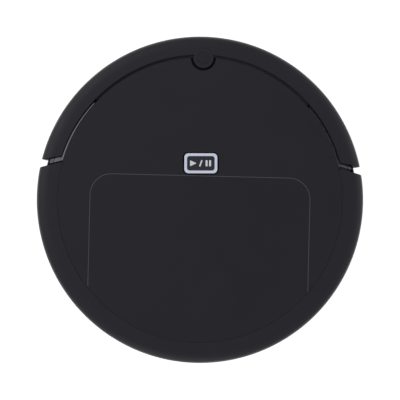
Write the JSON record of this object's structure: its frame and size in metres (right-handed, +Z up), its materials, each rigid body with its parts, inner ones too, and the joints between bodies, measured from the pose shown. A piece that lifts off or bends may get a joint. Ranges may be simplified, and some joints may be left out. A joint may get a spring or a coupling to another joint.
{
  "type": "robot vacuum",
  "caption": "Flat round robot vacuum cleaner with a sprung front bumper, a start button with a light ring and a flip lid over its dust bin.",
  "frame": {"origin": "on the floor, under the centre of the round body", "axes": "+Z up, +Y forwards to the bumper, +X to the robot's right"},
  "size_m": [0.28, 0.28, 0.0753],
  "materials": {
    "black_shell": "satin, finely textured black ABS",
    "dark_plastic": "matt dark grey ABS",
    "chassis_grey": "matt grey ABS",
    "light_ring": "translucent pale ring, lit from below",
    "button_panel": "smooth dark slate plastic",
    "smoked_plastic": "smoked clear plastic",
    "sensor_window": "dark infrared window",
    "soft_rubber": "matt rubber",
    "tyre_rubber": "matt rubber with tread",
    "steel": "plain steel",
    "circuit_board": "green solder mask",
    "filter_paper": "pleated paper",
    "battery_wrap": null,
    "bristle": "nylon bristles in a plastic hub"
  },
  "bodies": {
    "main": {"battery_cover": "dark_plastic", "battery_pack": "battery_wrap", "bin_lid": "dark_plastic", "bumper_spring_left": "steel", "bumper_spring_right": "steel", "bumper_switch_left": "dark_plastic", "bumper_switch_right": "dark_plastic", "button_switch": "steel", "caster_socket": "dark_plastic", "charging_jack": "dark_plastic", "chassis_base": "chassis_grey", "chassis_screw_front_left": "steel", "chassis_screw_front_right": "steel", "chassis_screw_rear_left": "steel", "chassis_screw_rear_right": "steel", "cliff_sensor_centre": "sensor_window", "cliff_sensor_left": "sensor_window", "cliff_sensor_right": "sensor_window", "dust_bin": "smoked_plastic", "fan_housing": "dark_plastic", "fan_motor": "steel", "hepa_filter": "filter_paper", "inner_deck": "dark_plastic", "main_pcb": "circuit_board", "power_switch_frame": "dark_plastic", "rear_shell": "black_shell", "side_brush_motor_left": "dark_plastic", "side_brush_motor_right": "dark_plastic", "squeegee_blade": "soft_rubber", "suction_nozzle": "dark_plastic", "top_cover": "black_shell", "wheel_pivot_pin_left": "steel", "wheel_pivot_pin_right": "steel", "wheel_spring_left": "steel", "wheel_spring_right": "steel"},
    "bumper": {"bumper_shell": "black_shell", "sensor_cap": "black_shell"},
    "dust_lid": {"dust_lid": "black_shell"},
    "start_button": {"start_button": "button_panel", "button_light_ring": "light_ring"},
    "inlet_flap": {"inlet_flap": "soft_rubber"},
    "fan_impeller": {"fan_impeller": "dark_plastic"},
    "power_rocker": {"power_rocker": "dark_plastic"},
    "wheel_arm_left": {"wheel_arm_left": "dark_plastic", "wheel_motor_left": "steel"},
    "wheel_arm_right": {"wheel_arm_right": "dark_plastic", "wheel_motor_right": "steel"},
    "wheel_left": {"wheel_axle_left": "steel", "wheel_hub_left": "dark_plastic", "wheel_tyre_left": "tyre_rubber"},
    "wheel_right": {"wheel_axle_right": "steel", "wheel_hub_right": "dark_plastic", "wheel_tyre_right": "tyre_rubber"},
    "caster_fork": {"caster_fork": "dark_plastic", "caster_axle": "steel"},
    "caster_wheel": {"caster_wheel": "soft_rubber"},
    "side_brush_left": {"side_brush_left": "bristle", "side_brush_screw_left": "steel"},
    "side_brush_right": {"side_brush_right": "bristle", "side_brush_screw_right": "steel"}
  },
  "joints": [
    {"name": "bumper_slide", "type": "slide", "parent": "main", "child": "bumper", "axis": [0, -1, 0], "range_m": [0, 0.0017], "stiffness_N_per_m": 800, "springref_m": -0.002, "deforming": ["bumper_spring_left", "bumper_spring_right"]},
    {"name": "start_button_press", "type": "slide", "parent": "main", "child": "start_button", "axis": [0, 0, -1], "range_m": [0, 0.001], "stiffness_N_per_m": 900, "springref_m": -0.0015},
    {"name": "dust_lid_hinge", "type": "hinge", "parent": "main", "child": "dust_lid", "pos_m": [0, 0.0205, 0.075], "axis": [-1, 0, 0], "range_deg": [0, 75]},
    {"name": "inlet_flap_hinge", "type": "hinge", "parent": "main", "child": "inlet_flap", "pos_m": [0, -0.0546, 0.0194], "axis": [-1, 0, 0], "range_deg": [0, 60]},
    {"name": "fan_spin", "type": "hinge", "parent": "main", "child": "fan_impeller", "pos_m": [0, -0.004, 0.028], "axis": [0, 0, 1], "continuous": true},
    {"name": "power_rocker_tilt", "type": "hinge", "parent": "main", "child": "power_rocker", "pos_m": [0.12649, -0.0411, 0.035], "axis": [0, 0, 1], "range_deg": [0, 16]},
    {"name": "wheel_drop_left", "type": "hinge", "parent": "main", "child": "wheel_arm_left", "pos_m": [-0.0748, 0.042, 0.0325], "axis": [1, 0, 0], "range_deg": [0, 20], "stiffness_Nm_per_rad": 0.15, "springref_deg": 45.84, "deforming": ["wheel_spring_left"]},
    {"name": "wheel_drop_right", "type": "hinge", "parent": "main", "child": "wheel_arm_right", "pos_m": [0.0748, 0.042, 0.0325], "axis": [1, 0, 0], "range_deg": [0, 20], "stiffness_Nm_per_rad": 0.15, "springref_deg": 45.84, "deforming": ["wheel_spring_right"]},
    {"name": "wheel_spin_left", "type": "hinge", "parent": "wheel_arm_left", "child": "wheel_left", "pos_m": [-0.095, 0, 0.0325], "axis": [-1, 0, 0], "continuous": true},
    {"name": "wheel_spin_right", "type": "hinge", "parent": "wheel_arm_right", "child": "wheel_right", "pos_m": [0.095, 0, 0.0325], "axis": [-1, 0, 0], "continuous": true},
    {"name": "caster_swivel", "type": "hinge", "parent": "main", "child": "caster_fork", "pos_m": [0, 0.095, 0.027], "axis": [0, 0, 1], "continuous": true},
    {"name": "caster_roll", "type": "hinge", "parent": "caster_fork", "child": "caster_wheel", "pos_m": [0, 0.09, 0.0125], "axis": [-1, 0, 0], "continuous": true},
    {"name": "side_brush_spin_left", "type": "hinge", "parent": "main", "child": "side_brush_left", "pos_m": [-0.07425, 0.07425, 0.005], "axis": [0, 0, 1], "continuous": true},
    {"name": "side_brush_spin_right", "type": "hinge", "parent": "main", "child": "side_brush_right", "pos_m": [0.07425, 0.07425, 0.005], "axis": [0, 0, -1], "continuous": true}
  ]
}
